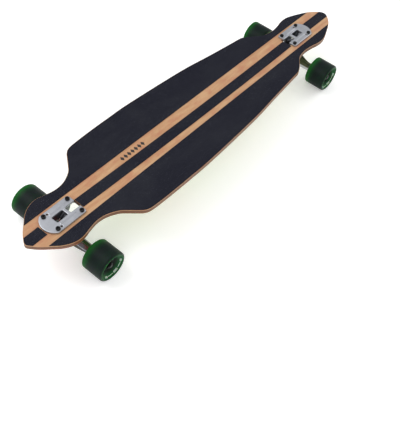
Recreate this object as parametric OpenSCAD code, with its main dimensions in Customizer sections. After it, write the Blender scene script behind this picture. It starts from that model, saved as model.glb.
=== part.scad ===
// Drop-through longboard: a plywood deck with a flat-bottomed concave, two cast trucks and four wheels.
// +X points to the wide nose, +Y to the left of a rider who faces it, +Z up.
// The wheels stand on Z = 0 and the origin is below the middle of the deck's length.

/* [Deck] */
// Distance between the centres of the two truck bolt patterns
wheelbase = 818; // [800:1:830]
// Deck length beyond the centre of the nose truck's bolt pattern
nose_overhang = 98; // [95:1:104]
// Deck length beyond the centre of the tail truck's bolt pattern
tail_overhang = 143; // [136:1:150]
// Widest part of the deck, behind the nose shoulders
deck_w = 243; // [236:1:248]
// Width across the two tail shoulders
tail_shoulder_w = 184; // [180:1:190]
// Width of the nose beside its truck
nose_w = 134; // [130:1:138]
// Width of the tail beside its truck
tail_w = 122; // [118:1:126]
// Thickness of the plywood
deck_t = 10; // [9:0.5:12]
// Width of the flat strip along the middle
flat_w = 76; // [74:1:80]
// Radius of the upward curve on each side of the flat strip
concave_r = 390; // [360:10:600]

/* [Grip] */
// Thickness of the grip sheets
grip_t = 0.9; // [0.6:0.1:1.4]
// Width of the middle grip strip
centre_grip_w = 26; // [22:1:30]
// Distance between the two outer grip sheets, across both wood stripes
outer_grip_gap = 70; // [66:1:72]
// Width of the bare wood rim outside the grip sheets
grip_margin = 0.9; // [0.5:0.1:2]
// How far the middle strip bows to the left between the trucks
strip_bow = 6.5; // [0:0.5:8]

/* [Trucks] */
// Angle of the steering axis above the horizontal
steer_angle = 50; // [47:1:52]
// Axle centre below the top of the deck
axle_drop = 60; // [58:0.5:62]
// Axle centre inboard of the bolt pattern's centre
axle_inset = 6; // [5:0.5:7]
// Width of the hanger between its two axle faces
hanger_w = 180; // [176:1:184]
// Length of the flange on the top of the deck
flange_l = 91; // [90:0.5:93]
// Width of the flange
flange_w = 56; // [55:0.5:58]
// Thickness of the flange
flange_t = 5; // [4:0.5:6]
// Radius of a bushing
bushing_r = 12; // [11:0.5:12]
// Height of a bushing
bushing_h = 14; // [13:0.5:14]

/* [Wheels] */
// Radius of a wheel
wheel_r = 35; // [33:0.5:36]
// Width of a wheel across its two faces
wheel_w = 54; // [50:1:56]

/* [Hidden] */
TRUCKS = ["nose", "tail"];
TRUCK_PARTS = [
    "baseplate", "pivot_cup", "kingpin", "kingpin_nut", "bushing_washers",
    "bushing_boardside", "bushing_roadside", "mount_bolts", "mount_nuts",
    "hanger", "axle", "axle_nuts", "speed_washers"
];
WHEELS = ["nose_left", "nose_right", "tail_left", "tail_right"];
WHEEL_PARTS = [
    "urethane", "core", "bearing_outer_races", "bearing_inner_races",
    "bearing_balls", "bearing_shields", "bearing_spacer"
];

round_fn = 64;
small_fn = 32;
eps = 0.01;

// Deck levels and the two truck positions
half_length = (wheelbase + nose_overhang + tail_overhang) / 2;
nose_truck_x = half_length - nose_overhang;
tail_truck_x = tail_overhang - half_length;
deck_top = wheel_r + axle_drop;
outline_steps = 5;

// Half outline of the nose: distance outboard of the truck, share of half the nose width
nose_shape = [
    [0.93 * nose_overhang, 0.19], [0.82 * nose_overhang, 0.385], [66, 0.59], [54, 0.76],
    [40, 0.9], [27, 0.975], [14, 1], [0, 0.975], [-14, 0.92], [-36, 0.868], [-59, 0.91]
];
// Half outline between the nose neck and the tail neck: distance from the named truck, half width
nose_shoulder = [
    [83, 0.598], [97, 0.72], [107, 0.823], [116, 0.911], [128, 0.963], [152, 0.983],
    [200, 0.996], [252, 1], [320, 0.997]
];
tail_shoulder = [
    [330, 1.222], [233, 1.11], [151, 1.02], [128, 0.998], [115, 0.977], [103, 0.92],
    [89, 0.826], [74, 0.717], [61, 0.637]
];
// Half outline of the tail: distance outboard of the truck, share of half the tail width
tail_shape = [
    [-43, 0.895], [-22, 0.876], [2, 0.925], [16, 0.977], [32, 1], [48, 0.98], [66, 0.893],
    [0.63 * tail_overhang, 0.735], [0.73 * tail_overhang, 0.628],
    [0.83 * tail_overhang, 0.492], [0.92 * tail_overhang, 0.315], [0.98 * tail_overhang, 0.15]
];
half_outline = concat(
    [for (p = nose_shape) [nose_truck_x + p[0], p[1] * nose_w / 2]],
    [for (p = nose_shoulder) [nose_truck_x - p[0], p[1] * deck_w / 2]],
    [for (p = tail_shoulder) [tail_truck_x + p[0], p[1] * tail_shoulder_w / 2]],
    [for (p = tail_shape) [tail_truck_x - p[0], p[1] * tail_w / 2]]
);
key_count = len(half_outline);
outline_keys = concat(
    [[half_length, 0]], half_outline, [[-half_length, 0]],
    [for (i = [key_count - 1:-1:0]) [half_outline[i][0], -half_outline[i][1]]]
);

// Catmull-Rom curve through a closed ring of points
function ring_point(p, i) = p[(i + len(p)) % len(p)];
function blend_point(a, b, c, d, t) =
    b + 0.5 * t * ((c - a) + t * ((2 * a - 5 * b + 4 * c - d) + t * (3 * (b - c) + d - a)));
function smooth_ring(p, steps) = [
    for (i = [0:len(p) - 1]) for (s = [0:steps - 1])
        blend_point(ring_point(p, i - 1), p[i], ring_point(p, i + 1), ring_point(p, i + 2), s / steps)
];
function step_in(p, along, distance) = p + distance * [-along[1], along[0]] / norm(along);
function inner_ring(p, distance) = [
    for (i = [0:len(p) - 1]) step_in(p[i], ring_point(p, i + 1) - ring_point(p, i - 1), distance)
];
function bezier(a, b, c, t) = (1 - t) * (1 - t) * a + 2 * t * (1 - t) * b + t * t * c;

// Slot through the deck that the truck body drops into
slot_w = 29;
slot_inboard = 43;
slot_outboard = 46;
slot_wide_w = 46;
slot_wide_l = 42;
slot_corner_r = 3;

// Bolt pattern and its hardware
bolt_dx = 31.75;
bolt_dy = 20.65;
spare_hole_dx = 22.25;
spare_hole_r = 2.4;
bolt_r = 2.4;
bolt_hole_r = 2.7;
bolt_head_r = 4.8;
bolt_head_h = 2.8;
bolt_end = 17;
socket_r = 2.2;
socket_depth = 1.8;
mount_nut_r = 5.5;
mount_nut_h = 5;

// Flange outline, window and notch
flange_inboard = 39;
flange_end_r = 32.5;
flange_corner_r = 5;
window_x = [-6, 22];
notch_x = [-40, -13];
window_w = 17;
rib_h = 0.7;

// Distances along the steering axis, measured outward from the axle
ring_at = 27;
socket_from = 50;
socket_to = 71;
socket_outer_r = 11.2;
socket_edge_r = 5;
cup_r = 8.2;
cup_to = 68;
nose_r = 5.95;
nose_ball_at = 60;
running_gap = 0.05;

// Distances along the kingpin, measured from the middle of the hanger's ring
ring_r = 19.5;
ring_half = 7;
cup_rim_at = 12.5;
cup_wall = 3.2;
cup_skirt_r = 20.8;
seat_depth = 1;
seat_r = bushing_r + 0.4;
ring_hole_r = 9.5;
bushing_from = ring_half - seat_depth;
washer_t = 2;
washer_r = bushing_r + 0.7;
road_bushing_r = bushing_r + 2;
road_bushing_end_r = bushing_r - 1.8;
road_bushing_straight = 3.5;
road_washer_r = bushing_r - 1.8;
boss_from = bushing_from + bushing_h + washer_t;
boss_to = boss_from + 14;
boss_r = 13;
boss_edge_r = 1.5;
kingpin_r = 4.75;
kingpin_hole_r = kingpin_r + 0.1;
head_r = 8.2;
head_h = 6;
king_nut_r = 8.25;
king_nut_h = 8;
king_nut_collar_r = 6.6;
king_nut_collar_h = 2;
kingpin_end = boss_from + king_nut_h + king_nut_collar_h + 2;

// Hanger casting: half of its web's plan, from the end of the bar past the ring to the pivot nose
bar_end_y = hanger_w / 2 - 7;
web_steps = 8;
web_bar_end = [7, hanger_w / 2 - 14];
web_ring_side = [30, 20.5];
web_tip = [47, 7.5];
web_half = concat(
    [for (s = [0:web_steps]) bezier(web_bar_end, [15, 25], web_ring_side, s / web_steps)],
    [for (s = [1:web_steps]) bezier(web_ring_side, [39, 19], web_tip, s / web_steps)]
);
web_plan = concat(
    [[-6, web_bar_end[1]]], web_half,
    [for (i = [len(web_half) - 1:-1:0]) [web_half[i][0], -web_half[i][1]]], [[-6, -web_bar_end[1]]]
);

// Belly of the bar on its road side, across the truck
belly_steps = 12;
belly_edge = 5;
belly_depth = 15.5;
belly_x = [-4.5, 9];
belly_plan = [
    for (s = [0:belly_steps])
        bezier([-bar_end_y, -belly_edge], [0, belly_edge - 2 * belly_depth],
            [bar_end_y, -belly_edge], s / belly_steps)
];

// Axle line, measured along the axle from the middle of a wheel
axle_r = 3.97;
axle_hole_r = 4;
bearing_gap = 5;
bearing_w = 7;
speed_washer_t = 1;
speed_washer_r = 5.5;
stack = bearing_gap + bearing_w + speed_washer_t;
axle_nut_r = 7.3;
axle_nut_h = 7;
axle_end = stack + axle_nut_h + 2;
wheel_y = hanger_w / 2 + stack;

// Ball bearing, outer diameter 22, bore 8 and width 7
race_outer_r = 11;
race_outer_in = 8.9;
race_inner_out = 6.1;
ball_pitch_r = 7.6;
ball_r = 1.9;
ball_count = 7;
groove_outer_r = 1.95;
groove_inner_r = 2.3;
shield_t = 0.4;
shield_in = 6.6;
spacer_r = 5.6;

// Wheel section
core_r = 16.5;
core_half = stack;
core_web_r = 8.7;
lip_r = 4.4;
lip_land = 0.1;
face_r = wheel_r - lip_r - lip_land;

// ---------- Placing ----------

// Moves a truck part from its own bolt pattern's centre, +X outboard, to the nose or the tail
module on_truck(truck) {
    if (truck == "nose") translate([nose_truck_x, 0, 0]) children();
    if (truck == "tail") translate([tail_truck_x, 0, 0]) rotate([0, 0, 180]) children();
}

// Origin at the axle's centre, +X up the steering axis, +Z along the kingpin to its head
module steering_frame() {
    translate([-axle_inset, 0, wheel_r]) rotate([0, -steer_angle, 0]) children();
}

// Origin at the middle of the hanger's ring
module kingpin_frame() {
    steering_frame() translate([ring_at, 0, 0]) children();
}

// Repeats a part on both ends of an axle, its +Z pointing outward from the wheel's middle
module both_axle_ends() {
    for (side = [-1, 1])
        translate([-axle_inset, side * wheel_y, wheel_r]) rotate([-side * 90, 0, 0]) children();
}

// Puts a wheel part on its own axle end, +Z pointing outward
module on_wheel(wheel) {
    truck = (wheel == "nose_left" || wheel == "nose_right") ? "nose" : "tail";
    left = wheel == "nose_left" || wheel == "tail_left";
    outward = left ? 1 : -1;
    side = (truck == "nose") ? outward : -outward;
    on_truck(truck) translate([-axle_inset, side * wheel_y, wheel_r])
        rotate([-side * 90, 0, 0]) children();
}

// The four corners of the bolt pattern
module bolt_corners() {
    for (x = [-bolt_dx, bolt_dx]) for (y = [-bolt_dy, bolt_dy]) translate([x, y, 0]) children();
}

// A round bar with a hole, standing on the plane z = from
module tube(outer, inner, from, to) {
    translate([0, 0, from]) difference() {
        cylinder(r = outer, h = to - from, $fn = round_fn);
        translate([0, 0, -1]) cylinder(r = inner, h = to - from + 2, $fn = round_fn);
    }
}

// A round bar that stands on z = 0 with a rounded top edge
module round_top_bar(r, h, edge_r) {
    rotate_extrude($fn = round_fn) {
        square([r - edge_r, h]);
        square([r, h - edge_r]);
        translate([r - edge_r, h - edge_r]) circle(r = edge_r, $fn = small_fn);
    }
}

// A rectangle with round corners
module round_rect(x0, x1, width, r) {
    difference() {
        translate([x0, -width / 2]) square([x1 - x0, width]);
        for (x = [x0, x1]) for (y = [-width / 2, width / 2])
            translate([x, y]) square(2 * r, center = true);
    }
    for (x = [x0 + r, x1 - r]) for (y = [-1, 1])
        translate([x, y * (width / 2 - r)]) circle(r = r, $fn = small_fn);
}

// ---------- Deck ----------

// Everything above the deck's top surface moved up by rise
module above_surface(rise) {
    roof = 60;
    span = 2 * half_length + 20;
    translate([-span / 2, -flat_w / 2, deck_top + rise]) cube([span, flat_w, roof]);
    for (side = [-1, 1]) intersection() {
        translate([-span / 2, side * flat_w / 2, deck_top + concave_r])
            rotate([0, 90, 0]) cylinder(r = concave_r - rise, h = span, $fn = 128);
        translate([-span / 2, side > 0 ? flat_w / 2 : -flat_w / 2 - deck_w / 2, deck_top + rise])
            cube([span, deck_w / 2, roof]);
    }
}

// The layer between two heights over the deck's top surface, cut margin inside the deck's outline
module layer(low, high, margin) {
    outline = inner_ring(smooth_ring(outline_keys, outline_steps), margin);
    difference() {
        intersection() {
            translate([0, 0, deck_top - deck_t - 5]) linear_extrude(deck_t + 40) polygon(outline);
            above_surface(low);
        }
        above_surface(high);
    }
}

// Plan of the slot for a truck
module slot_plan() {
    round_rect(-slot_inboard, slot_outboard, slot_w, slot_corner_r);
    round_rect(-slot_wide_l / 2, slot_wide_l / 2, slot_wide_w, slot_corner_r);
}

module deck() {
    color("peru") difference() {
        layer(-deck_t, 0, 0);
        for (t = TRUCKS) on_truck(t) translate([0, 0, deck_top - deck_t - 1]) {
            linear_extrude(deck_t + 2) slot_plan();
            bolt_corners() cylinder(r = bolt_hole_r, h = deck_t + 2, $fn = small_fn);
        }
    }
}

// A grip sheet between two distances from the middle line
module grip_sheet(y0, y1) {
    intersection() {
        layer(0, grip_t, grip_margin);
        translate([-half_length - 5, y0, deck_top - 5]) cube([2 * half_length + 10, y1 - y0, 40]);
    }
}

module grip_left() {
    color("darkslategray") grip_sheet(outer_grip_gap / 2, deck_w / 2 + 5);
}

module grip_right() {
    color("darkslategray") grip_sheet(-deck_w / 2 - 5, -outer_grip_gap / 2);
}

// Plan of the middle strip: bowed between the trucks and straight beyond them
module strip_plan() {
    peak_x = nose_truck_x - 530;
    steps = 16;
    xs = [for (s = [0:steps]) tail_truck_x + wheelbase * s / steps];
    middle = [for (x = xs) [x, strip_bow * (1 - pow((x - peak_x) / (nose_truck_x - peak_x), 2))]];
    half_w = [0, centre_grip_w / 2];
    polygon(concat([for (p = middle) p - half_w], [for (i = [steps:-1:0]) middle[i] + half_w]));
    for (x = [-2 * half_length + tail_truck_x, nose_truck_x])
        translate([x, -centre_grip_w / 2]) square([2 * half_length, centre_grip_w]);
}

module grip_centre() {
    gap = 1;
    color("darkslategray") difference() {
        intersection() {
            layer(0, grip_t, grip_margin);
            translate([0, 0, deck_top - 1]) linear_extrude(grip_t + 2) strip_plan();
        }
        for (t = TRUCKS) on_truck(t) translate([0, 0, deck_top - 1]) linear_extrude(grip_t + 2)
            round_rect(-slot_inboard, flange_l - flange_inboard + gap, outer_grip_gap, slot_corner_r);
    }
}

// ---------- Truck body, fixed to the deck ----------

module flange_plan() {
    outboard = flange_l - flange_inboard;
    shoulder = outboard - flange_end_r + sqrt(pow(flange_end_r, 2) - pow(flange_w / 2, 2));
    round_rect(-flange_inboard, 0, flange_w, flange_corner_r);
    translate([-flange_inboard / 2, -flange_w / 2]) square([shoulder + flange_inboard / 2, flange_w]);
    intersection() {
        translate([outboard - flange_end_r, 0]) circle(r = flange_end_r, $fn = 96);
        translate([0, -flange_w / 2]) square([outboard + 1, flange_w]);
    }
}

// One of the two cheeks that join the flange, the kingpin boss and the pivot socket
module cheek_plan() {
    polygon([
        [-29, 1], [44, 1], [42, -8], [31, -19], [22, -21],
        [8, -17], [-8, -29], [-21, -22], [-29, -10]
    ]);
}

module baseplate() {
    cheek_t = 3;
    cheek_y = 10.3;
    rib_y = 15.5;
    rib_w = 1.6;
    rib_l = 40;
    color("silver") difference() {
        union() {
            translate([0, 0, deck_top]) linear_extrude(flange_t) flange_plan();
            for (y = [-cheek_y, cheek_y + cheek_t])
                translate([0, y, deck_top]) rotate([90, 0, 0]) linear_extrude(cheek_t) cheek_plan();
            kingpin_frame() translate([0, 0, boss_from])
                round_top_bar(boss_r, boss_to - boss_from, boss_edge_r);
            steering_frame() translate([socket_from, 0, 0])
                rotate([0, 90, 0]) round_top_bar(socket_outer_r, socket_to - socket_from, socket_edge_r);
            for (y = [-rib_y, rib_y]) translate([-rib_l / 2, y - rib_w / 2, deck_top + flange_t - 1])
                cube([rib_l, rib_w, rib_h + 1]);
        }
        translate([0, 0, deck_top - 1]) linear_extrude(flange_t + 3) {
            round_rect(window_x[0], window_x[1], window_w, 2);
            round_rect(notch_x[0] - 6, notch_x[1], window_w, 2);
        }
        translate([0, 0, deck_top - 1]) bolt_corners()
            cylinder(r = bolt_hole_r, h = flange_t + 2, $fn = small_fn);
        for (y = [-bolt_dy, bolt_dy]) translate([spare_hole_dx, y, deck_top - 1])
            cylinder(r = spare_hole_r, h = flange_t + 2, $fn = small_fn);
        kingpin_frame() {
            translate([0, 0, boss_from - 1])
                cylinder(r = kingpin_hole_r, h = boss_to - boss_from + 2, $fn = small_fn);
            translate([0, 0, bushing_from])
                cylinder(r = washer_r + 0.5, h = boss_from - bushing_from, $fn = round_fn);
        }
        steering_frame() translate([socket_from - 1, 0, 0])
            rotate([0, 90, 0]) cylinder(r = cup_r, h = cup_to - socket_from + 1, $fn = round_fn);
    }
}

module pivot_cup() {
    lip_outer_r = 9.6;
    lip_t = 1.5;
    color("black") steering_frame() difference() {
        rotate([0, 90, 0]) union() {
            translate([0, 0, socket_from]) cylinder(r = cup_r, h = cup_to - socket_from, $fn = round_fn);
            translate([0, 0, socket_from - lip_t]) cylinder(r = lip_outer_r, h = lip_t, $fn = round_fn);
        }
        translate([socket_from - lip_t - 1, 0, 0]) rotate([0, 90, 0])
            cylinder(r = nose_r + running_gap, h = nose_ball_at - socket_from + lip_t + 1, $fn = round_fn);
        translate([nose_ball_at, 0, 0]) sphere(r = nose_r + running_gap, $fn = round_fn);
    }
}

module kingpin() {
    color("dimgray") kingpin_frame() {
        translate([0, 0, -kingpin_end])
            cylinder(r = kingpin_r, h = kingpin_end + boss_to + 1, $fn = small_fn);
        difference() {
            translate([0, 0, boss_to]) cylinder(r = head_r, h = head_h, $fn = 6);
            translate([0, 0, boss_to + head_h - 3]) cylinder(r = 3.6, h = 4, $fn = 6);
        }
    }
}

module kingpin_nut() {
    color("black") kingpin_frame() difference() {
        union() {
            translate([0, 0, -boss_from - king_nut_h]) cylinder(r = king_nut_r, h = king_nut_h, $fn = 6);
            translate([0, 0, -boss_from - king_nut_h - king_nut_collar_h])
                cylinder(r = king_nut_collar_r, h = king_nut_collar_h + 1, $fn = small_fn);
        }
        translate([0, 0, -boss_from - 12]) cylinder(r = kingpin_hole_r, h = 14, $fn = small_fn);
    }
}

module bushing_washers() {
    color("dimgray") kingpin_frame() {
        tube(washer_r, kingpin_hole_r, boss_from - washer_t, boss_from);
        tube(road_washer_r, kingpin_hole_r, -boss_from, washer_t - boss_from);
    }
}

module bushing_boardside() {
    color("darkred") kingpin_frame()
        tube(bushing_r, kingpin_hole_r, bushing_from, bushing_from + bushing_h);
}

module bushing_roadside() {
    color("red") kingpin_frame() difference() {
        union() {
            translate([0, 0, -bushing_from - road_bushing_straight])
                cylinder(r = road_bushing_r, h = road_bushing_straight, $fn = round_fn);
            translate([0, 0, -bushing_from - bushing_h])
                cylinder(r1 = road_bushing_end_r, r2 = road_bushing_r,
                    h = bushing_h - road_bushing_straight, $fn = round_fn);
        }
        translate([0, 0, -bushing_from - bushing_h - 1])
            cylinder(r = kingpin_hole_r, h = bushing_h + 2, $fn = small_fn);
    }
}

module mount_bolts() {
    color("black") translate([0, 0, deck_top]) bolt_corners() {
        translate([0, 0, -bolt_end]) cylinder(r = bolt_r, h = bolt_end + flange_t + eps, $fn = small_fn);
        difference() {
            translate([0, 0, flange_t]) cylinder(r = bolt_head_r, h = bolt_head_h, $fn = small_fn);
            translate([0, 0, flange_t + bolt_head_h - socket_depth])
                cylinder(r = socket_r, h = socket_depth + 1, $fn = 6);
        }
    }
}

module mount_nuts() {
    color("black") translate([0, 0, deck_top - deck_t - mount_nut_h]) bolt_corners() difference() {
        cylinder(r = mount_nut_r, h = mount_nut_h, $fn = 6);
        translate([0, 0, -1]) cylinder(r = bolt_r + running_gap, h = mount_nut_h + 2, $fn = small_fn);
    }
}

// ---------- Hanger and axle, which steer ----------

// Section of the cast bar, wide at the middle of the truck and slimmer towards a wheel
module bar_section(r) {
    rotate([90, 0, 0]) linear_extrude(1, center = true) rotate(22.5) circle(r = r, $fn = 8);
}

module hanger() {
    web_half_t = 5.2;
    bar_mid_r = 13.5;
    bar_end_r = 10.4;
    face_end_r = 8.5;
    neck_from = 40;
    neck_to = 48;
    neck_r = 8.8;
    color("lightgray") steering_frame() difference() {
        union() {
            for (side = [-1, 1]) hull() {
                bar_section(bar_mid_r);
                translate([0, side * bar_end_y, 0]) bar_section(bar_end_r);
            }
            translate([0, hanger_w / 2, 0]) rotate([90, 0, 0])
                cylinder(r = face_end_r, h = hanger_w, $fn = round_fn);
            translate([0, 0, -web_half_t]) linear_extrude(2 * web_half_t) polygon(web_plan);
            translate([belly_x[0], 0, 0]) rotate([90, 0, 90]) linear_extrude(belly_x[1] - belly_x[0])
                polygon(belly_plan);
            translate([ring_at, 0, 0]) {
                translate([0, 0, -ring_half]) cylinder(r = ring_r, h = 2 * ring_half, $fn = round_fn);
                translate([0, 0, -cup_rim_at]) cylinder(r1 = ring_r, r2 = cup_skirt_r,
                    h = cup_rim_at - web_half_t + 1, $fn = round_fn);
            }
            rotate([0, 90, 0]) {
                translate([0, 0, neck_from])
                    cylinder(r1 = neck_r, r2 = nose_r, h = neck_to - neck_from, $fn = round_fn);
                translate([0, 0, neck_to]) cylinder(r = nose_r, h = nose_ball_at - neck_to, $fn = round_fn);
            }
            translate([nose_ball_at, 0, 0]) sphere(r = nose_r, $fn = round_fn);
        }
        translate([0, hanger_w / 2 + 1, 0]) rotate([90, 0, 0])
            cylinder(r = axle_hole_r, h = hanger_w + 2, $fn = small_fn);
        translate([ring_at, 0, -ring_half - 1])
            cylinder(r = ring_hole_r, h = 2 * ring_half + 2, $fn = round_fn);
        translate([ring_at, 0, ring_half - seat_depth])
            cylinder(r = seat_r, h = seat_depth + 1, $fn = round_fn);
        translate([ring_at, 0, -cup_rim_at - 1])
            cylinder(r = ring_r - cup_wall, h = cup_rim_at - bushing_from + 1, $fn = round_fn);
    }
}

module axle() {
    length = 2 * (wheel_y + axle_end);
    color("silver") translate([-axle_inset, length / 2, wheel_r])
        rotate([90, 0, 0]) cylinder(r = axle_r, h = length, $fn = small_fn);
}

module axle_nuts() {
    color("dimgray") both_axle_ends() difference() {
        translate([0, 0, stack]) cylinder(r = axle_nut_r, h = axle_nut_h, $fn = 6);
        translate([0, 0, stack - 1]) cylinder(r = axle_hole_r, h = axle_nut_h + 2, $fn = small_fn);
    }
}

module speed_washers() {
    color("gray") both_axle_ends() {
        tube(speed_washer_r, axle_hole_r, stack - speed_washer_t, stack);
        tube(speed_washer_r, axle_hole_r, -stack, speed_washer_t - stack);
    }
}

// ---------- Wheels, which roll ----------

module urethane() {
    half = wheel_w / 2;
    color("darkgreen") rotate_extrude($fn = 128) difference() {
        union() {
            translate([core_r, -half]) square([wheel_r - lip_r - core_r, wheel_w]);
            translate([core_r, lip_r - half]) square([wheel_r - core_r, wheel_w - 2 * lip_r]);
            for (z = [lip_r - half, half - lip_r])
                translate([wheel_r - lip_r, z]) circle(r = lip_r, $fn = round_fn);
        }
        for (side = [-1, 1]) polygon([
            [core_r - 1, side * (half + 1)], [face_r + 1, side * (half + 1)], [face_r, side * half],
            [face_r - 1.5, side * (half - 2)], [core_r + 1, side * (core_half + 0.5)],
            [core_r - 1, side * core_half]
        ]);
    }
}

module core() {
    color("darkolivegreen") difference() {
        tube(core_r, core_web_r, -core_half, core_half);
        for (z = [-core_half - 1, bearing_gap])
            translate([0, 0, z])
                cylinder(r = race_outer_r, h = core_half - bearing_gap + 1, $fn = round_fn);
    }
}

// Repeats a bearing part on both sides of the core's web
module both_bearings() {
    for (side = [-1, 1]) translate([0, 0, side * (bearing_gap + bearing_w / 2)]) children();
}

// A race's section with its ball groove, turned about the axle
module race(inner, outer, groove_r) {
    rotate_extrude($fn = round_fn) difference() {
        translate([inner, -bearing_w / 2]) square([outer - inner, bearing_w]);
        translate([ball_pitch_r, 0]) circle(r = groove_r, $fn = small_fn);
    }
}

module bearing_outer_races() {
    color("silver") both_bearings() race(race_outer_in, race_outer_r, groove_outer_r);
}

module bearing_inner_races() {
    color("silver") both_bearings() race(axle_hole_r, race_inner_out, groove_inner_r);
}

module bearing_balls() {
    color("gainsboro") both_bearings() for (i = [0:ball_count - 1])
        rotate([0, 0, i * 360 / ball_count]) translate([ball_pitch_r, 0, 0]) sphere(r = ball_r, $fn = 24);
}

module bearing_shields() {
    inset = 0.3;
    color("black") both_bearings() for (side = [-1, 1])
        translate([0, 0, side * (bearing_w / 2 - inset - shield_t / 2)])
            tube(race_outer_in, shield_in, -shield_t / 2, shield_t / 2);
}

module bearing_spacer() {
    color("silver") tube(spacer_r, axle_hole_r, -bearing_gap, bearing_gap);
}

// ---------- Nodes ----------

deck();
grip_left();
grip_centre();
grip_right();
for (t = TRUCKS) {
    on_truck(t) baseplate();
    on_truck(t) pivot_cup();
    on_truck(t) kingpin();
    on_truck(t) kingpin_nut();
    on_truck(t) bushing_washers();
    on_truck(t) bushing_boardside();
    on_truck(t) bushing_roadside();
    on_truck(t) mount_bolts();
    on_truck(t) mount_nuts();
    on_truck(t) hanger();
    on_truck(t) axle();
    on_truck(t) axle_nuts();
    on_truck(t) speed_washers();
}
for (w = WHEELS) {
    on_wheel(w) urethane();
    on_wheel(w) core();
    on_wheel(w) bearing_outer_races();
    on_wheel(w) bearing_inner_races();
    on_wheel(w) bearing_balls();
    on_wheel(w) bearing_shields();
    on_wheel(w) bearing_spacer();
}
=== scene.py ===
import math

import bpy
from mathutils import Matrix, Vector


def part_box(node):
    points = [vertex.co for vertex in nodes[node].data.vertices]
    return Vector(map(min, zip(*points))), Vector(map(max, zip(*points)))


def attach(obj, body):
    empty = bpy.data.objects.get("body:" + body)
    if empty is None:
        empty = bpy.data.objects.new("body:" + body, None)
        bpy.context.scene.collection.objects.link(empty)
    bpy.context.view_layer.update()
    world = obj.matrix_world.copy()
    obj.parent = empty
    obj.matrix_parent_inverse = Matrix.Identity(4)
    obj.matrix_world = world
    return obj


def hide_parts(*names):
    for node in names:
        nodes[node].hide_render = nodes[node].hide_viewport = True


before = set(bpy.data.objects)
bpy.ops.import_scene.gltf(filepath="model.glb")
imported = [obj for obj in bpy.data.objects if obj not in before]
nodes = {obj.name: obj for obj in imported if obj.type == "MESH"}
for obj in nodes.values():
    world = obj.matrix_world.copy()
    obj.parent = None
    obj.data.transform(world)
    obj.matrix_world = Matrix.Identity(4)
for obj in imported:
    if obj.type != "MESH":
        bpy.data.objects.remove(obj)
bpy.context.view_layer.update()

# ---------- Measures from the frame, in metres ----------

TRUCKS = ("nose", "tail")
SIDES = ("left", "right")
HARDWARE = ("_kingpin", "_kingpin_nut", "_mount_bolts", "_mount_nuts", "_axle_nuts")
MM = 0.001


def middle_of(node):
    """The centre of a CAD node's box."""
    low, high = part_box(node)
    return (Vector(low) + Vector(high)) / 2


# The deck is flat along its middle, where the centre grip strip lies, and curves up at the sides.
deck_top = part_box("grip_centre")[0][2]
deck_t = deck_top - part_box("deck")[0][2]
flat_half = 38 * MM
concave_r = 390 * MM

axle_x = {truck: middle_of(truck + "_axle").x for truck in TRUCKS}
axle_z = middle_of("nose_axle").z
wheel_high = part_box("nose_left_urethane")[1]
wheel_y = middle_of("nose_left_urethane").y
wheel_r = wheel_high[2] - axle_z
wheel_half = wheel_high[1] - wheel_y


# ---------- Fields: numbers that vary over a surface, worked out by shader nodes ----------

class Field:
    """The number or colour that a shader node gives at each point, with arithmetic."""

    def __init__(self, tree, socket):
        self.tree, self.socket = tree, socket

    def math(self, operation, *others):
        """Any operation of the Math node, on this field and the others."""
        node = self.tree.nodes.new("ShaderNodeMath")
        node.operation = operation
        for slot, value in zip(node.inputs, (self,) + others):
            plug(self.tree, value, slot)
        return Field(self.tree, node.outputs[0])

    def __add__(self, other):
        return self.math("ADD", other)

    def __sub__(self, other):
        return self.math("SUBTRACT", other)

    def __rsub__(self, other):
        return self.math("MULTIPLY_ADD", -1.0, other)

    def __mul__(self, other):
        return self.math("MULTIPLY", other)

    def __truediv__(self, other):
        return self.math("DIVIDE", other)

    def __pow__(self, other):
        return self.math("POWER", other)

    __radd__, __rmul__ = __add__, __mul__

    def abs(self):
        return self.math("ABSOLUTE")

    def sin(self):
        return self.math("SINE")

    def cos(self):
        return self.math("COSINE")

    def fract(self):
        return self.math("FRACT")

    def either(self, other):
        """The larger of two fields, which joins two masks."""
        return self.math("MAXIMUM", other)

    def both(self, other):
        """The smaller of two fields, which leaves what two masks share."""
        return self.math("MINIMUM", other)

    def ramp(self, low, high, start=0.0, end=1.0):
        """Rises smoothly from start, at low, to end, at high."""
        node = self.tree.nodes.new("ShaderNodeMapRange")
        node.interpolation_type = "SMOOTHSTEP"
        for slot, value in zip(node.inputs, (self, low, high, start, end)):
            plug(self.tree, value, slot)
        return Field(self.tree, node.outputs[0])

    def above(self, edge, soft):
        """0 below an edge and 1 above it."""
        return self.ramp(edge - soft, edge + soft)

    def below(self, edge, soft):
        """1 below an edge and 0 above it."""
        return self.ramp(edge - soft, edge + soft, 1.0, 0.0)

    def near(self, centre, half, soft):
        """1 within half of centre, and 0 beyond."""
        return (self - centre).abs().below(half, soft)


def plug(tree, value, slot):
    """Sets a socket to a number or colour, or links a field to it."""
    if isinstance(value, Field):
        tree.links.new(value.socket, slot)
    else:
        slot.default_value = value


def srgb(r, g, b):
    """A colour given as 0-255 sRGB, as linear light with alpha."""
    def channel(c):
        c = c / 255
        return c / 12.92 if c <= 0.04045 else ((c + 0.055) / 1.055) ** 2.4
    return (channel(r), channel(g), channel(b), 1.0)


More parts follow.
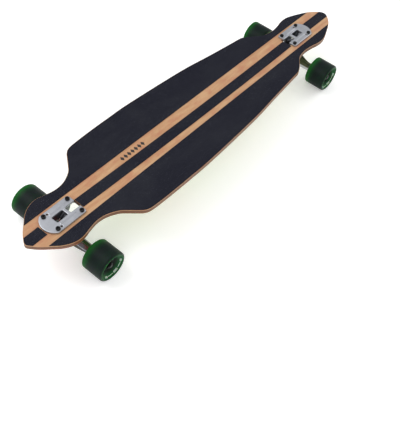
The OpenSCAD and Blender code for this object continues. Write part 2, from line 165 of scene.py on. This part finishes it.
class Surface:
    """One material, with the place on the object as the fields x, y and z."""

    def __init__(self, name, **constants):
        self.material = bpy.data.materials.new(name)
        self.material.use_nodes = True
        self.tree = self.material.node_tree
        self.shader = self.tree.nodes["Principled BSDF"]
        self.place = self.node("ShaderNodeTexCoord").outputs["Object"]
        self.x, self.y, self.z = self.parts_of(self.place)
        for key, value in constants.items():
            self.set(key.replace("_", " "), value)

    def node(self, kind):
        return self.tree.nodes.new(kind)

    def parts_of(self, vector):
        """The three parts of a vector socket."""
        parts = self.node("ShaderNodeSeparateXYZ")
        self.tree.links.new(vector, parts.inputs[0])
        return [Field(self.tree, output) for output in parts.outputs]

    def set(self, key, value):
        """Sets one of the shader's own sockets, by name."""
        names = {slot.name.lower(): slot for slot in self.shader.inputs}
        plug(self.tree, value, names[key.lower()])

    def vector(self, x, y, z=0.0):
        """A vector socket made of three fields or numbers."""
        node = self.node("ShaderNodeCombineXYZ")
        for slot, value in zip(node.inputs, (x, y, z)):
            plug(self.tree, value, slot)
        return node.outputs[0]

    def facing_up(self):
        """The upward part of the surface's own direction, from -1 to 1."""
        return self.parts_of(self.node("ShaderNodeTexCoord").outputs["Normal"])[2]

    def noise(self, scale, detail, rough, at=None):
        """Noise over the object, or over another vector."""
        node = self.node("ShaderNodeTexNoise")
        self.tree.links.new(at or self.place, node.inputs["Vector"])
        node.inputs["Scale"].default_value = scale
        node.inputs["Detail"].default_value = detail
        node.inputs["Roughness"].default_value = rough
        return Field(self.tree, node.outputs[0])

    def streaks(self, detail, rough, x, y, z=0.0):
        """Noise whose grain differs along each axis; x, y and z come already scaled."""
        return self.noise(1.0, detail, rough, self.vector(x, y, z))

    def cells(self, scale, at=None, randomness=1.0):
        """The nearest of many scattered points, as a Voronoi node."""
        node = self.node("ShaderNodeTexVoronoi")
        self.tree.links.new(at or self.place, node.inputs["Vector"])
        node.inputs["Scale"].default_value = scale
        node.inputs["Randomness"].default_value = randomness
        return node

    def grains(self, scale):
        """Distance to the nearest of many scattered points."""
        return Field(self.tree, self.cells(scale).outputs["Distance"])

    def mix(self, share, first, second):
        """The first colour where share is 0 and the second where it is 1."""
        node = self.node("ShaderNodeMix")
        node.data_type = "RGBA"
        for index, value in ((0, share), (6, first), (7, second)):
            plug(self.tree, value, node.inputs[index])
        return Field(self.tree, node.outputs[2])

    def colour(self, value):
        self.set("Base Color", value)

    def bump(self, height, distance):
        """Raises the surface in its shading, by distance where height is 1."""
        node = self.node("ShaderNodeBump")
        plug(self.tree, height, node.inputs["Height"])
        node.inputs["Distance"].default_value = distance
        self.tree.links.new(node.outputs[0], self.shader.inputs["Normal"])


def give(material, *names):
    """Puts a material on every slot of some CAD nodes."""
    for name in names:
        mesh = nodes[name].data
        mesh.materials.clear()
        mesh.materials.append(material)


def soften(width, *names):
    """Breaks the sharp edges of CAD nodes."""
    for name in names:
        bevel = nodes[name].modifiers.new("edge", "BEVEL")
        bevel.width, bevel.segments = width, 2
        bevel.limit_method, bevel.angle_limit = "ANGLE", math.radians(35)


# ---------- Deck: veneer, plies and printed underside ----------

PLIES = 9
MAPLE_LIGHT, MAPLE_WARM = srgb(200, 160, 118), srgb(178, 128, 90)
MAPLE_ROSE, MAPLE_PORE = srgb(176, 110, 80), srgb(134, 90, 60)
PLY_PALE, PLY_LIGHT = srgb(180, 136, 88), srgb(138, 86, 48)
PLY_DARK, PLY_GLUE = srgb(84, 45, 22), srgb(48, 27, 15)
PRINT_GREEN, PRINT_CREAM = srgb(16, 124, 22), srgb(217, 214, 150)
PRINT_RUST, PRINT_RED, PRINT_CRIMSON = srgb(172, 62, 26), srgb(200, 12, 44), srgb(160, 8, 32)
MARK_INK = srgb(38, 30, 26)


def depth_in_deck(surface):
    """Distance below the deck's top surface, which curves up beyond the flat strip."""
    out = (surface.y.abs() - flat_half).either(0.0)
    rise = concave_r - (concave_r ** 2 - out * out).math("SQRT")
    return deck_top + rise - surface.z


def maple(surface, x_mm, y_mm):
    """Flat-cut veneer with its grain along X; gives a colour and a height."""
    figure = surface.streaks(3.0, 0.55, x_mm * 0.011, y_mm * 0.075)
    streaks = surface.streaks(5.0, 0.65, x_mm * 0.02, y_mm * 0.9, 3.0)
    pores = surface.streaks(2.0, 0.5, x_mm * 0.22, y_mm * 4.0, 7.0)
    warm = (figure * 1.6 + streaks * 0.9 - 0.75).ramp(0.05, 0.95)
    veneer = surface.mix(warm, MAPLE_LIGHT, MAPLE_WARM)
    blotch = surface.streaks(4.0, 0.6, x_mm * 0.02, y_mm * 0.045, 11.0)
    veneer = surface.mix(blotch.ramp(0.44, 0.66) * 0.6, veneer, MAPLE_ROSE)
    open_pore = pores.above(0.66, 0.05)
    veneer = surface.mix(open_pore * 0.55, veneer, MAPLE_PORE)
    return veneer, open_pore * -1.0 + streaks * 0.4


def plies(surface, depth):
    """The deck's edge: plies of alternating grain between dark glue lines, pale at the top."""
    ply = depth * (PLIES / deck_t)
    grain = surface.streaks(3.0, 0.6, surface.x * 90, surface.y * 90, surface.z * 2500)
    cross = (ply * 0.5).fract().above(0.5, 0.02)
    wood = surface.mix(cross * 0.55 + grain * 0.3 - 0.1, PLY_LIGHT, PLY_DARK)
    stained = depth.near(0.42 * deck_t, 0.13 * deck_t, 0.02 * deck_t)
    wood = surface.mix(stained * 0.7, wood, PLY_DARK)
    wood = surface.mix(depth.below(deck_t / PLIES, 0.1 * MM), wood, PLY_PALE)
    glue = (ply.fract() - 0.5).abs().above(0.45, 0.03)
    return surface.mix(glue * 0.75, wood, PLY_GLUE)


def around(surface, u, v, turn=0.0):
    """Distance from a centre, and the angle about it."""
    radius = (u * u + v * v).math("SQRT")
    return radius, v.math("ARCTAN2", u) + turn


def petals(angle, count, narrow):
    """1 along the middle of each petal and 0 between two."""
    return (angle * (count / 2)).cos().abs() ** narrow


def rays(angle, radius, count, width):
    """Thin lines that fan out from a centre, each width across."""
    turn = (angle * (count / math.tau)).fract() - 0.5
    return (turn.abs() * radius * (math.tau / count)).below(width / 2, 0.15)


def blossom(radius, angle, size, count):
    """A drawn flower: outlined petals filled with fine hatching, and a small eye."""
    edge = size * (0.42 + 0.58 * petals(angle, count, 0.62))
    inside = (radius - edge).below(0.0, 0.2)
    outline = (radius - edge + 0.9).abs().below(0.9, 0.2)
    hatch = rays(angle, radius, count * 9, 0.9).both((radius - 0.3 * edge).above(0.0, 0.4))
    eye = radius.below(3.2, 0.3)
    seam = rays(angle + math.pi / count, radius, count, 1.3)
    return inside, inside.both(outline.either(hatch).either(eye).either(seam))


def scattered(surface, x_mm, y_mm, spacing, seed, randomness):
    """Local coordinates in a scattered grid, and two random numbers for each cell."""
    node = surface.cells(1 / spacing, surface.vector(x_mm + seed, y_mm, seed), randomness)
    node.voronoi_dimensions = "2D"
    centre = surface.parts_of(node.outputs["Position"])
    chance = surface.node("ShaderNodeSeparateColor")
    surface.tree.links.new(node.outputs["Color"], chance.inputs[0])
    first, second = (Field(surface.tree, chance.outputs[i]) for i in range(2))
    return x_mm + seed - centre[0], y_mm - centre[1], first, second


def leaf(u, v, length, width):
    """A pointed leaf from the origin along u; gives its shape and its slanted veins."""
    along = u / length
    half = (along * math.pi).sin().either(0.0) ** 0.8 * width
    shape = (v.abs() - half).below(0.0, 0.2).both(along.near(0.5, 0.5, 0.01))
    stripe = ((u - v.abs() * 1.1) / 4.2).fract().near(0.5, 0.17, 0.03)
    rib = v.abs().below(0.5, 0.15)
    return shape, shape.both(stripe.either(rib))


def turned(u, v, angle):
    """Coordinates turned about their origin by a fixed angle or by a field."""
    if isinstance(angle, Field):
        c, s = angle.cos(), angle.sin()
    else:
        c, s = math.cos(angle), math.sin(angle)
    return u * c + v * s, v * c - u * s


def scattered_drawing(surface, x_mm, y_mm):
    """Cream flowers, leaves and daisies over the whole underside."""
    cream = None
    for spacing, seed, size, count, keep in ((112, 31.0, 47.0, 5, 1.0), (74, 260.0, 25.0, 6, 0.62)):
        u, v, chance, spin = scattered(surface, x_mm, y_mm, spacing, seed, 0.55)
        radius, angle = around(surface, u, v, spin * math.tau)
        inside, drawn = blossom(radius, angle, size, count)
        kept = chance.below(keep, 0.001)
        drawn, inside = drawn.both(kept), inside.both(kept)
        cream = drawn if cream is None else drawn.either(cream.both(1.0 - inside))
    for spacing, seed, length, width in ((60, 517.0, 52.0, 11.0), (84, 903.0, 74.0, 17.0)):
        u, v, chance, spin = scattered(surface, x_mm, y_mm, spacing, seed, 0.7)
        u, v = turned(u, v, spin * math.tau)
        shape, veins = leaf(u + length / 2, v, length, width)
        cream = cream.either(shape.both(1.0 - veins).both(chance.above(0.3, 0.001)))
    u, v, chance, spin = scattered(surface, x_mm, y_mm, 46, 1300.0, 0.6)
    radius, angle = around(surface, u, v, spin * math.tau)
    daisy = (radius - 11.0 * (0.45 + 0.55 * petals(angle, 13, 0.5))).below(0.0, 0.2)
    daisy = daisy.both(radius.above(2.4, 0.2)).both(chance.above(0.45, 0.001))
    return cream.either(daisy)


def band(surface, across, half, art):
    """A plain rust band with cream edges."""
    art = surface.mix(across.abs().below(half + 2.2, 0.2), art, PRINT_CREAM)
    return surface.mix(across.abs().below(half, 0.2), art, PRINT_RUST)


def rosette(surface, x_mm, y_mm, centre, art):
    """A big rust rosette of plain petals and rings in the middle of the deck."""
    radius, angle = around(surface, x_mm - centre, y_mm)
    for size, count, line in ((108.0, 12, 6.5), (76.0, 12, 5.0), (46.0, 6, 4.5)):
        edge = size * (0.74 + 0.26 * petals(angle, count, 0.75))
        stroke = (radius - edge).abs()
        art = surface.mix(stroke.below(line / 2 + 1.5, 0.2), art, PRINT_CREAM)
        art = surface.mix(stroke.below(line / 2, 0.2), art, PRINT_RUST)
    spokes = rays(angle, radius, 12, 4.0).both(radius.near(62.0, 12.0, 0.3))
    art = surface.mix(spokes, art, PRINT_RUST)
    return surface.mix(radius.below(11.0, 0.2), art, PRINT_RUST)


def red_flower(surface, x_mm, y_mm, place, size, turn, art):
    """A big red five-petalled flower with cream stamens."""
    radius, angle = around(surface, x_mm - place[0], y_mm - place[1], turn)
    petal = petals(angle, 5, 0.45)
    ripple = 1.0 + 0.025 * (angle * 23).sin()
    shape = (radius - size * (0.5 + 0.5 * petal) * ripple).below(0.0, 0.25)
    veins = rays(angle, radius, 40, 0.9).both(radius.near(0.45 * size, 0.27 * size, 0.6))
    red = surface.mix(petal.below(0.45, 0.1) * 0.8 + veins * 0.5, PRINT_RED, PRINT_CRIMSON)
    art = surface.mix(shape, art, red)
    stamen = rays(angle, radius, 7, 1.5).both(radius.near(0.2 * size, 0.13 * size, 0.3))
    art = surface.mix(stamen, art, PRINT_CREAM)
    return surface.mix(radius.below(0.09 * size, 0.3), art, PRINT_GREEN)


def palm_leaf(surface, x_mm, y_mm, root, turn, length, width, art):
    """One large palm leaf with open fingers."""
    u, v = turned(x_mm - root[0], y_mm - root[1], turn)
    along = u / length
    half = (along.both(1.0).either(0.0) * math.pi).sin() ** 0.6 * width
    fingers = ((u - v.abs() * 0.85) / 11.0).fract().near(0.5, 0.31, 0.02)
    shape = (v.abs() - half).below(0.0, 0.3).both(along.near(0.5, 0.5, 0.004))
    art = surface.mix(shape, art, PRINT_GREEN)
    return surface.mix(shape.both(fingers.either(v.abs().below(1.1, 0.2))), art, PRINT_CREAM)


def underside(surface, x_mm, y_mm):
    """The printed artwork: flowers and leaves on green, rust bands and a rosette.

    All its places and sizes are in millimetres.
    """
    cream = scattered_drawing(surface, x_mm, y_mm)
    art = surface.mix(cream, PRINT_GREEN, PRINT_CREAM)
    art = rosette(surface, x_mm, y_mm, -38.0, art)
    for start, slant, half in ((212.0, 0.16, 17.0), (-208.0, -0.16, 9.0)):
        art = band(surface, x_mm - start + y_mm * slant, half, art)
    art = palm_leaf(surface, x_mm, y_mm, (398.0, -64.0), 0.42, 150.0, 40.0, art)
    art = palm_leaf(surface, x_mm, y_mm, (-415.0, 6.0), math.pi, 112.0, 42.0, art)
    for place, size, turn in (((-312.0, -58.0), 56.0, 0.4), ((476.0, 30.0), 46.0, 1.3)):
        art = red_flower(surface, x_mm, y_mm, place, size, turn, art)
    return art


def mark(surface, x_mm, y_mm):
    """A plain row of dark lozenges on one wood stripe."""
    x_low, x_high, y_mid, count = 172.0, 246.0, -20.5, 7
    step = (x_high - x_low) / count
    across = ((x_mm - x_low) / step).fract() - 0.5
    lozenge = (across.abs() * 2.3 + (y_mm - y_mid).abs() / 6.5).below(1.0, 0.03)
    return lozenge.both(x_mm.near((x_low + x_high) / 2, (x_high - x_low) / 2, 0.1))


def deck_material():
    """Clear-coated maple on top, bare plies on the edge and the printed artwork below."""
    surface = Surface("maple_deck", coat_weight=0.2, coat_roughness=0.22, ior=1.48)
    x_mm, y_mm = surface.x * 1000, surface.y * 1000
    depth = depth_in_deck(surface)
    veneer, relief = maple(surface, x_mm, y_mm)
    veneer = surface.mix(mark(surface, x_mm, y_mm), veneer, MARK_INK)
    edge = plies(surface, depth)
    printed = underside(surface, x_mm, y_mm)
    worn = surface.noise(900.0, 3.0, 0.6)
    top = depth.below(0.5 * MM, 0.05 * MM)
    bottom = depth.above(deck_t - 0.35 * MM, 0.05 * MM)
    look = surface.mix(top, edge, veneer)
    look = surface.mix(bottom, look, printed)
    surface.colour(look)
    surface.set("Roughness", worn * 0.14 + 0.3 + (1.0 - top.either(bottom)) * 0.15)
    surface.bump(relief * top + worn * 0.4, 0.06 * MM)
    return surface.material


# ---------- Grip ----------

GRIT_DARK, GRIT_PALE = srgb(22, 23, 31), srgb(40, 41, 52)
GRIT_SCUFF, GRIT_GLINT = srgb(58, 60, 64), srgb(150, 152, 158)


def grip_material():
    """Coarse charcoal grit: dark grains, a few that catch the light, and light scuffing."""
    surface = Surface("grip_grit", specular_ior_level=0.08, roughness=0.86)
    coarse = surface.noise(620.0, 3.0, 0.7)
    scuff = surface.noise(7.0, 5.0, 0.6).above(0.6, 0.14)
    trodden = surface.streaks(3.0, 0.6, surface.x * 5, surface.y * 16).above(0.56, 0.2)
    glint = surface.grains(2300.0).below(0.17, 0.04)
    look = surface.mix(coarse.ramp(0.3, 0.75), GRIT_DARK, GRIT_PALE)
    look = surface.mix(scuff.either(trodden) * 0.22, look, GRIT_SCUFF)
    look = surface.mix(glint * coarse.above(0.6, 0.05), look, GRIT_GLINT)
    surface.colour(look)
    surface.bump(surface.grains(1500.0) * -0.7 + coarse, 0.32 * MM)
    return surface.material


# ---------- Metals ----------

def dimmed(tint, share):
    """A colour at some share of its brightness."""
    return tuple(channel * share for channel in tint[:3]) + (1.0,)


def cast_material(name, tint, roughness, pits):
    """Tumbled casting: soft blotches, small pits, and painted shade that makes the metal much
    darker below the deck's top.
    """
    surface = Surface(name, metallic=1.0)
    blotch = surface.noise(55.0, 4.0, 0.6)
    grain = surface.noise(1700.0, 3.0, 0.65)
    # Painted shade: the casting is darkened below the deck's top, where it sits in the shade of the
    # board.
    below = surface.z.below(deck_top - 2 * MM, 2 * MM)
    look = surface.mix(blotch.ramp(0.35, 0.7), tint, dimmed(tint, 0.86))
    look = surface.mix(below * 0.72, look, dimmed(tint, 0.3))
    surface.colour(look)
    surface.set("Roughness", blotch * 0.12 + grain * 0.1 + (roughness - 0.1))
    surface.bump(grain + blotch * 1.5, pits)
    return surface.material


POLISH_BRIGHT, POLISH_HAZY = (0.62, 0.63, 0.65, 1), (0.46, 0.47, 0.5, 1)
POLISH_SHADED, STEEL_WORN = (0.07, 0.07, 0.075, 1), (0.36, 0.35, 0.34, 1)


def polished_material():
    """Satin polish with fine lines around the bar and soft haze, with painted shade that makes it
    nearly black where it faces up towards the deck.
    """
    surface = Surface("polished_casting", metallic=1.0)
    lines = surface.streaks(4.0, 0.7, surface.x * 120, surface.y * 1900, surface.z * 120)
    haze = surface.noise(40.0, 4.0, 0.6)
    # Painted shade: the metal is darkened where it faces up, towards the shaded underside of the
    # deck.
    painted_shade_facing_up = surface.facing_up().ramp(-0.1, 0.6)
    look = surface.mix(haze.ramp(0.3, 0.75), POLISH_BRIGHT, POLISH_HAZY)
    surface.colour(surface.mix(painted_shade_facing_up * 0.85, look, POLISH_SHADED))
    surface.set("Roughness", lines * 0.16 + haze * 0.12 + 0.1)
    surface.bump(lines + haze * 2.0, 0.025 * MM)
    return surface.material


def steel_material(name, tint, roughness, wear):
    """Plated or blackened steel with fine scratches and patchy wear."""
    surface = Surface(name, metallic=1.0)
    patch = surface.noise(260.0, 4.0, 0.65)
    scratch = surface.streaks(3.0, 0.6, surface.x * 2600, surface.y * 300, surface.z * 2600)
    surface.colour(surface.mix(patch.above(0.58, 0.1) * wear, tint, STEEL_WORN))
    surface.set("Roughness", patch * 0.2 + scratch * 0.12 + (roughness - 0.16))
    surface.bump(scratch + patch, 0.02 * MM)
    return surface.material


# ---------- Urethane and rubber ----------

def rubber_material(name, tint, dusty, roughness):
    """Dull black rubber or urethane with patches of pale dust."""
    surface = Surface(name, specular_ior_level=0.4)
    dust = surface.noise(180.0, 4.0, 0.6)
    surface.colour(surface.mix(dust.ramp(0.45, 0.8) * 0.35, tint, dusty))
    surface.set("Roughness", dust * 0.2 + (roughness - 0.1))
    surface.bump(surface.noise(2500.0, 2.0, 0.5), 0.03 * MM)
    return surface.material


RED_CLEAR, RED_DEEP = srgb(190, 14, 26), srgb(132, 6, 16)


def bushing_material():
    """Translucent red urethane with cloudy, deeper patches."""
    surface = Surface("red_urethane", roughness=0.2, subsurface_weight=0.35, coat_weight=0.3)
    surface.set("Subsurface Radius", (1.0, 0.12, 0.08))
    surface.set("Subsurface Scale", 4 * MM)
    cloud = surface.noise(130.0, 3.0, 0.5)
    surface.colour(surface.mix(cloud.ramp(0.3, 0.7), RED_CLEAR, RED_DEEP))
    surface.bump(cloud + surface.noise(1400.0, 2.0, 0.5) * 0.2, 0.05 * MM)
    return surface.material


FACE_DARK, FACE_LIGHT = srgb(6, 36, 18), srgb(8, 46, 22)
TREAD_DARK, TREAD_DUST = srgb(7, 17, 18), srgb(12, 25, 27)
# The recess colours are painted light near the rim, and painted shade deep in towards the hub.
RECESS_LIGHT_INNER, RECESS_LIGHT_OUTER = srgb(10, 112, 18), srgb(12, 76, 34)
# The rim glow is painted light.
RIM_GLOW, RECESS_SHADE, PRINT_PALE = srgb(13, 88, 26), srgb(2, 9, 6), srgb(196, 214, 196)
CORE_DARK, CORE_LIGHT = srgb(3, 12, 7), srgb(6, 22, 12)
# Where the face's recess ends, and the printed arc's radius and middle, in radians about the axle
RECESS_R = 30.6 * MM
PRINT_R = 26.8 * MM
PRINT_MIDDLE = 1.98


def wheel_fields(surface):
    """Distance from the wheel's axis, outward distance from its middle, and angle about it."""
    nose = surface.x.above(0.0, 0.01)
    u = surface.x - (nose * (axle_x["nose"] - axle_x["tail"]) + axle_x["tail"])
    v = surface.z - axle_z
    radius, angle = around(surface, u, v)
    return radius, surface.y.abs() - wheel_y, angle


def wheel_print(radius, out, angle):
    """A printed arc on the outer face: three groups of plain dashes, joined by hairlines."""
    turn = angle + PRINT_MIDDLE
    hairline = radius.near(PRINT_R, 0.35 * MM, 0.1 * MM).both(turn.abs().below(0.82, 0.01))
    hairline = hairline.both(turn.abs().above(0.3, 0.01))
    groups = turn.abs().near(1.02, 0.15, 0.01).either(turn.abs().below(0.22, 0.01))
    dash = (turn * 15.0).fract().near(0.5, 0.3, 0.05).both(groups)
    dashes = dash.both(radius.near(PRINT_R, 1.5 * MM, 0.12 * MM))
    return hairline.either(dashes).both(out.above(12 * MM, 0.5 * MM))


def wheel_material():
    """Translucent green urethane: dusty tread, with painted light glowing on the rims and in the
    recesses, brighter towards -Y, and painted shade deep in the recesses.
    """
    surface = Surface("green_urethane", subsurface_weight=0.6, specular_ior_level=0.14)
    surface.set("Subsurface Radius", (0.15, 1.0, 0.3))
    surface.set("Subsurface Scale", 9 * MM)
    radius, out, angle = wheel_fields(surface)
    cloud = surface.noise(60.0, 4.0, 0.6)
    scuff = surface.streaks(4.0, 0.65, angle * 3, surface.y * 700, radius * 300)
    tread = radius.above(wheel_r - 1.2 * MM, 0.7 * MM)
    edge = out.abs() / wheel_half
    # Painted light: the rims glow, most on the -Y side, where the key light stands.
    to_left = out * (surface.y.above(0.0, 0.01) * 2.0 - 1.0) / wheel_half
    glow = edge.ramp(0.1, 0.9) * to_left.ramp(-0.9, 0.9, 1.0, 0.08)
    look = surface.mix(cloud.ramp(0.3, 0.75), FACE_DARK, FACE_LIGHT)
    look = surface.mix(glow, look, RIM_GLOW)
    hollow = edge.above(0.48, 0.02).both(radius.below(RECESS_R, 0.6 * MM))
    # Painted light in the recess near its rim, and painted shade deeper in towards the hub.
    recess_painted_light = surface.mix(out.above(0.0, 1 * MM), RECESS_LIGHT_INNER, RECESS_LIGHT_OUTER)
    look = surface.mix(hollow * radius.ramp(17 * MM, 26 * MM), look, recess_painted_light)
    look = surface.mix(hollow * radius.ramp(26 * MM, 17 * MM), look, RECESS_SHADE)
    dusty = surface.mix(scuff.ramp(0.35, 0.75), TREAD_DARK, TREAD_DUST)
    look = surface.mix(tread * (1.0 - glow) * 0.88, look, dusty)
    look = surface.mix(wheel_print(radius, out, angle), look, PRINT_PALE)
    surface.colour(look)
    surface.set("Roughness", tread * 0.2 + scuff * 0.16 + 0.24)
    surface.bump(scuff * (tread * 0.9 + 0.1) + cloud * 0.4, 0.07 * MM)
    return surface.material


def core_material():
    """The dark green core between the tyre and the bearings."""
    surface = Surface("green_core", roughness=0.4, specular_ior_level=0.25)
    cloud = surface.noise(220.0, 3.0, 0.6)
    surface.colour(surface.mix(cloud, CORE_DARK, CORE_LIGHT))
    surface.bump(cloud, 0.04 * MM)
    return surface.material


# ---------- Castings: soft-edged copies of the CAD solids ----------

def casting(node, body, material, voxel, passes, keep):
    """Replaces a CAD casting with a copy whose edges and inner corners are rounded.

    voxel is the remesh's step, passes the smoothing steps, and keep the share of faces kept.
    """
    source = nodes[node]
    piece = bpy.data.objects.new(node + "_casting", source.data.copy())
    bpy.context.scene.collection.objects.link(piece)
    remesh = piece.modifiers.new("remesh", "REMESH")
    remesh.mode, remesh.voxel_size, remesh.adaptivity = "VOXEL", voxel, 0.0
    smooth = piece.modifiers.new("smooth", "SMOOTH")
    smooth.factor, smooth.iterations = 0.5, passes
    thin = piece.modifiers.new("thin", "DECIMATE")
    thin.ratio = keep
    graph = bpy.context.evaluated_depsgraph_get()
    mesh = bpy.data.meshes.new_from_object(piece.evaluated_get(graph))
    piece.modifiers.clear()
    piece.data = mesh
    mesh.materials.clear()
    mesh.materials.append(material)
    mesh.polygons.foreach_set("use_smooth", [True] * len(mesh.polygons))
    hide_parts(node)
    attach(piece, body)


# ---------- Camera ----------

CAMERA_PLACE = Vector((0.9514, 0.6455, 1.1591))
CAMERA_TARGET = Vector((0.2467, 0.1996, 0.095))
CAMERA_ROLL = math.radians(9.02)
CAMERA_LENS = 55.59


def place_camera():
    """The camera looks along its aim and is turned about it by the roll."""
    camera = bpy.data.objects.new("camera", bpy.data.cameras.new("camera"))
    bpy.context.scene.collection.objects.link(camera)
    camera.data.lens = CAMERA_LENS
    camera.data.sensor_width = 36
    forward = (CAMERA_TARGET - CAMERA_PLACE).normalized()
    level_right = forward.cross(Vector((0, 0, 1))).normalized()
    level_up = level_right.cross(forward)
    right = level_right * math.cos(CAMERA_ROLL) + level_up * math.sin(CAMERA_ROLL)
    up = right.cross(forward)
    turn = Matrix((right, up, -forward)).transposed().to_4x4()
    camera.matrix_world = Matrix.Translation(CAMERA_PLACE) @ turn
    camera.data.clip_start, camera.data.clip_end = 0.01, 50
    bpy.context.scene.camera = camera


# ---------- Light and floor ----------

BOARD_MIDDLE = Vector((0, 0, 0.05))


def area_light(name, place, size, power):
    """A square soft light, aimed at the board."""
    light = bpy.data.objects.new(name, bpy.data.lights.new(name, "AREA"))
    light.data.size, light.data.energy = size, power
    light.location = place
    light.rotation_mode = "QUATERNION"
    light.rotation_quaternion = (BOARD_MIDDLE - Vector(place)).to_track_quat("-Z", "Y")
    bpy.context.scene.collection.objects.link(light)


def floor_paper():
    """Pale paper with a slight glow of its own, clear from below so that the underside shows."""
    surface = Surface("floor_paper", roughness=0.9, base_color=(0.92, 0.92, 0.92, 1))
    surface.set("Emission Color", (1, 1, 1, 1))
    surface.set("Emission Strength", 0.3)
    tree = surface.tree
    mix, clear = surface.node("ShaderNodeMixShader"), surface.node("ShaderNodeBsdfTransparent")
    geometry = surface.node("ShaderNodeNewGeometry")
    tree.links.new(geometry.outputs["Backfacing"], mix.inputs[0])
    tree.links.new(surface.shader.outputs[0], mix.inputs[1])
    tree.links.new(clear.outputs[0], mix.inputs[2])
    tree.links.new(mix.outputs[0], tree.nodes["Material Output"].inputs["Surface"])
    return surface.material


def studio():
    """A white surround, three soft lights and a floor just below the wheels."""
    world = bpy.data.worlds.new("studio")
    bpy.context.scene.world = world
    world.use_nodes = True
    background = world.node_tree.nodes["Background"]
    background.inputs["Color"].default_value = (1, 1, 1, 1)
    background.inputs["Strength"].default_value = 0.7
    area_light("key", (0.9, -1.3, 1.9), 1.4, 24)
    area_light("fill", (1.4, 1.6, 1.3), 1.6, 9)
    area_light("back", (-1.8, 0.6, 1.2), 1.2, 9)
    bpy.ops.mesh.primitive_plane_add(size=60, location=(0, 0, -0.0005))
    floor = bpy.context.object
    floor.name = "floor"
    floor.data.materials.append(floor_paper())


place_camera()
studio()
bpy.context.scene.view_settings.view_transform = "Standard"

# ---------- Materials on the CAD nodes ----------

give(deck_material(), "deck")
give(grip_material(), "grip_left", "grip_centre", "grip_right")
cast = cast_material("cast_aluminium", (0.46, 0.475, 0.515, 1), 0.42, 0.05 * MM)
polished = polished_material()
black_steel = steel_material("black_steel", (0.02, 0.02, 0.022, 1), 0.42, 0.14)
zinc = steel_material("dark_zinc", (0.2, 0.2, 0.21, 1), 0.38, 0.5)
axle_steel = steel_material("axle_steel", (0.05, 0.05, 0.053, 1), 0.46, 0.12)
# Painted shade: the bearing steel is darkened far below bare steel, so that the hub looks shaded.
bearing_steel = steel_material("bearing_steel", (0.09, 0.09, 0.095, 1), 0.36, 0.15)
seal = rubber_material("seal_rubber", srgb(24, 24, 26), srgb(60, 60, 60), 0.6)
cup = rubber_material("cup_urethane", srgb(26, 26, 28), srgb(66, 66, 66), 0.55)
red, green, core = bushing_material(), wheel_material(), core_material()

for truck in TRUCKS:
    steering = truck + "_truck"
    casting(truck + "_baseplate", "board", cast, 0.7 * MM, 3, 0.4)
    casting(truck + "_hanger", steering, polished, 0.9 * MM, 10, 0.5)
    give(cup, truck + "_pivot_cup")
    give(red, truck + "_bushing_boardside", truck + "_bushing_roadside")
    hardware = [truck + part for part in HARDWARE]
    give(black_steel, *hardware)
    give(zinc, truck + "_bushing_washers")
    give(axle_steel, truck + "_axle", truck + "_speed_washers")
    soften(0.3 * MM, truck + "_bushing_washers", *hardware)
    soften(0.5 * MM, truck + "_bushing_boardside", truck + "_bushing_roadside", truck + "_axle")
    for side in SIDES:
        wheel = truck + "_" + side
        give(green, wheel + "_urethane")
        give(core, wheel + "_core")
        races = (wheel + "_bearing_outer_races", wheel + "_bearing_inner_races")
        give(bearing_steel, wheel + "_bearing_balls", *races)
        give(axle_steel, wheel + "_bearing_spacer")
        give(seal, wheel + "_bearing_shields")
        soften(0.25 * MM, wheel + "_core", *races)
